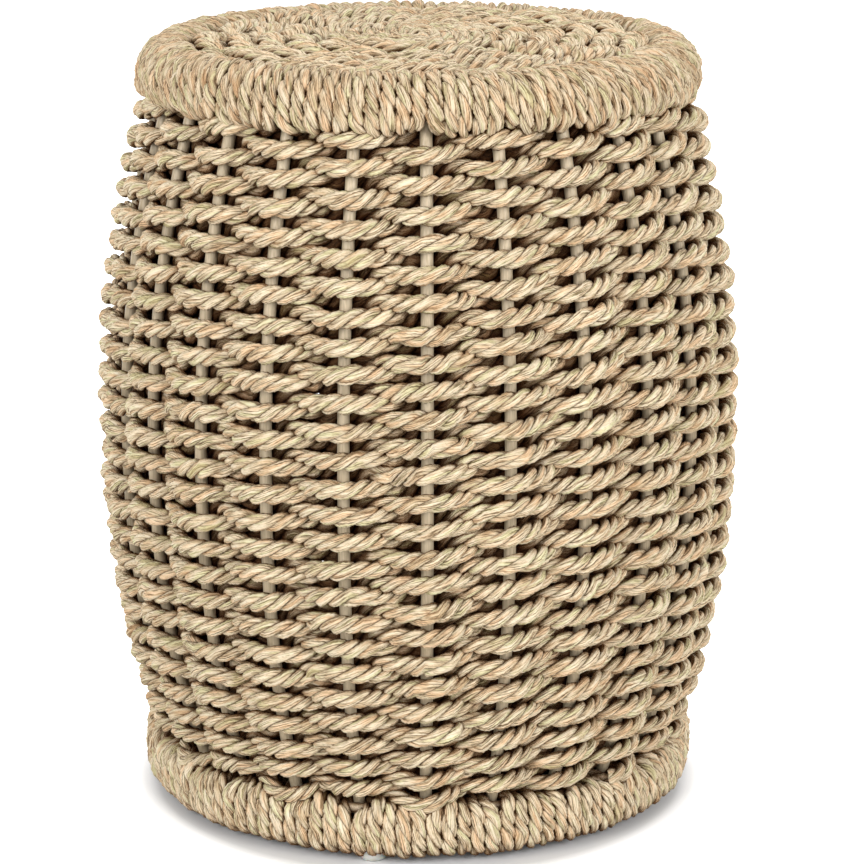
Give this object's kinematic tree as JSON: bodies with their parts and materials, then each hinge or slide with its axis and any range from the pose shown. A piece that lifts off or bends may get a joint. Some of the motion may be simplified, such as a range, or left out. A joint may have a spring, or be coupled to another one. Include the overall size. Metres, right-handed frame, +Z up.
{
  "type": "ottoman footstool",
  "caption": "Round drum-shaped outdoor ottoman or footstool, woven from thick natural rope in plain weave over a bowed steel rib frame, with rope-wrapped bands and a woven seat",
  "frame": {"origin": "on the floor, under the middle of the stool", "axes": "+Z up the middle of the drum, -Y towards the front seen in the picture, +X to its right"},
  "size_m": [0.384, 0.384, 0.457],
  "materials": {
    "rope": "matte laid plant fibre",
    "frame_paint": "satin paint",
    "glide": "milky, smooth"
  },
  "bodies": {
    "root": {"rib_01": "frame_paint", "rib_02": "frame_paint", "rib_03": "frame_paint", "rib_04": "frame_paint", "rib_05": "frame_paint", "rib_06": "frame_paint", "rib_07": "frame_paint", "rib_08": "frame_paint", "rib_09": "frame_paint", "rib_10": "frame_paint", "rib_11": "frame_paint", "rib_12": "frame_paint", "rib_13": "frame_paint", "rib_14": "frame_paint", "rib_15": "frame_paint", "rib_16": "frame_paint", "rib_17": "frame_paint", "rib_18": "frame_paint", "rib_19": "frame_paint", "rib_20": "frame_paint", "rib_21": "frame_paint", "rib_22": "frame_paint", "rib_23": "frame_paint", "rib_24": "frame_paint", "bottom_hoop_lower": "frame_paint", "bottom_hoop_upper": "frame_paint", "top_hoop_lower": "frame_paint", "top_hoop_upper": "frame_paint", "top_hoop_inner": "frame_paint", "bottom_wrap_1": "rope", "bottom_wrap_2": "rope", "bottom_wrap_3": "rope", "bottom_wrap_4": "rope", "top_wrap_1": "rope", "top_wrap_2": "rope", "top_wrap_3": "rope", "top_wrap_4": "rope", "side_rope_01": "rope", "side_rope_02": "rope", "side_rope_03": "rope", "side_rope_04": "rope", "side_rope_05": "rope", "side_rope_06": "rope", "side_rope_07": "rope", "side_rope_08": "rope", "side_rope_09": "rope", "side_rope_10": "rope", "seat_ring": "frame_paint", "seat_spider": "frame_paint", "seat_rope": "rope", "seat_centre_coil": "rope", "foot_1": "glide", "foot_2": "glide", "foot_3": "glide", "foot_4": "glide"}
  },
  "joints": []
}
